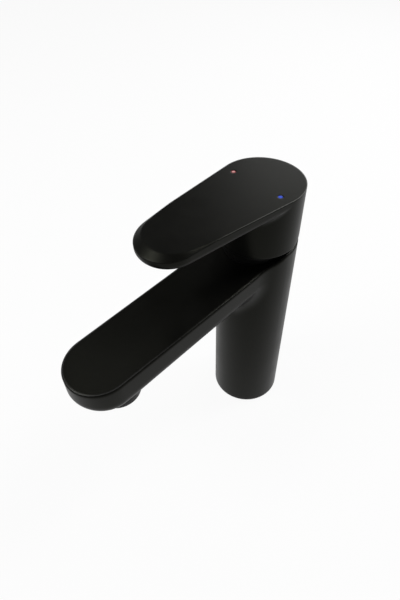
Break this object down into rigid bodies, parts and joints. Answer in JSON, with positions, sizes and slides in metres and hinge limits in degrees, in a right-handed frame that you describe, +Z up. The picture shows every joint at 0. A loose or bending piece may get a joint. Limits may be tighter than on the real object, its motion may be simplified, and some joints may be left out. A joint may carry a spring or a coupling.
{
  "type": "basin mixer faucet",
  "caption": "Matte black single-lever basin mixer: round column, flat-topped spout with aerator, and a lever that lifts for flow and swivels for temperature over a ceramic disc cartridge.",
  "frame": {"origin": "centre of the column's foot, on the deck face", "axes": "+Z up the column; the spout and the lever point along -Y; +X is the user's right when standing at the spout (cold side)"},
  "size_m": [0.046, 0.1542, 0.1773],
  "materials": {
    "black_paint": "matte black powder coat",
    "black_metal": "satin black",
    "rubber": "dull",
    "shell_plastic": "moulded, light grey",
    "slide_plastic": "moulded, white",
    "disc_ceramic": "lapped ceramic",
    "brass": "turned brass",
    "steel": "turned steel",
    "black_plastic": "matte",
    "aerator_plastic": "moulded, pale grey",
    "red_enamel": "gloss red",
    "blue_enamel": "gloss blue"
  },
  "bodies": {
    "body": {"body_casting": "black_paint", "foot_gasket": "rubber", "inlet_block": "brass", "cartridge_base": "shell_plastic", "port_seals": "rubber", "disc_seals": "rubber", "cartridge_shell": "shell_plastic", "chamber_seals": "rubber", "fixed_disc": "disc_ceramic", "cartridge_nut": "brass", "dome_cap": "black_metal", "aerator_housing": "black_metal", "aerator_core": "aerator_plastic", "aerator_screen": "aerator_plastic", "aerator_washer": "rubber"},
    "turret": {"rotor": "slide_plastic", "rotor_seal": "rubber", "pivot_pin": "steel"},
    "lever": {"spindle": "steel", "handle": "black_paint", "grub_screw": "steel", "screw_plug": "black_plastic", "hot_marker": "red_enamel", "cold_marker": "blue_enamel"},
    "disc_slide": {"disc_carrier": "slide_plastic", "moving_disc": "disc_ceramic"}
  },
  "joints": [
    {"name": "swivel", "type": "hinge", "parent": "body", "child": "turret", "pos_m": [0, 0, 0.133], "axis": [0, 0, 1], "range_deg": [-50, 50]},
    {"name": "lift", "type": "hinge", "parent": "turret", "child": "lever", "pos_m": [0, 0, 0.133], "axis": [-1, 0, 0], "range_deg": [0, 20]},
    {"name": "disc_shift", "type": "slide", "parent": "turret", "child": "disc_slide", "axis": [0, -1, 0], "range_m": [0, 0.00456]}
  ],
  "couplings": [
    {"joint": "disc_shift", "follows": "lift", "m_per_rad": 0.012934}
  ]
}
